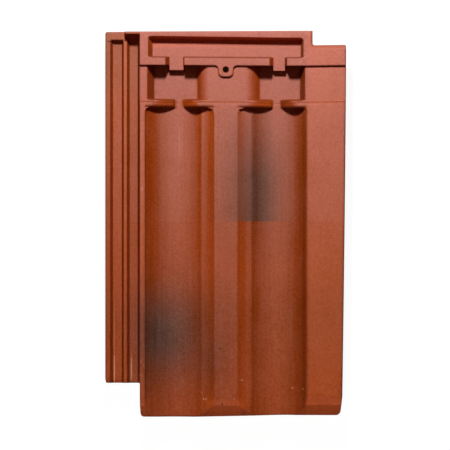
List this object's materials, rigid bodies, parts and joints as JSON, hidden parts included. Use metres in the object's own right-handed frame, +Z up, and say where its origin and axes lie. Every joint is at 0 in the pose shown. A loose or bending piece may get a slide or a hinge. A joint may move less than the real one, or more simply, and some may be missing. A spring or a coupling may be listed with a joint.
{
  "type": "clay roof tile",
  "caption": "Interlocking fired-clay roof tile with water troughs beside a flat roll, a grooved side lock, a cover flap and a head lock with a nail hole.",
  "frame": {"origin": "middle of the tile's box on the floor that its nibs and front teeth stand on", "axes": "+Y from the foot to the head of the tile, +Z up out of its weathered face, +X towards the cover flap"},
  "size_m": [0.29, 0.462, 0.043],
  "materials": {
    "clay": "matt"
  },
  "bodies": {
    "root": {"roof_tile": "clay"}
  },
  "joints": []
}
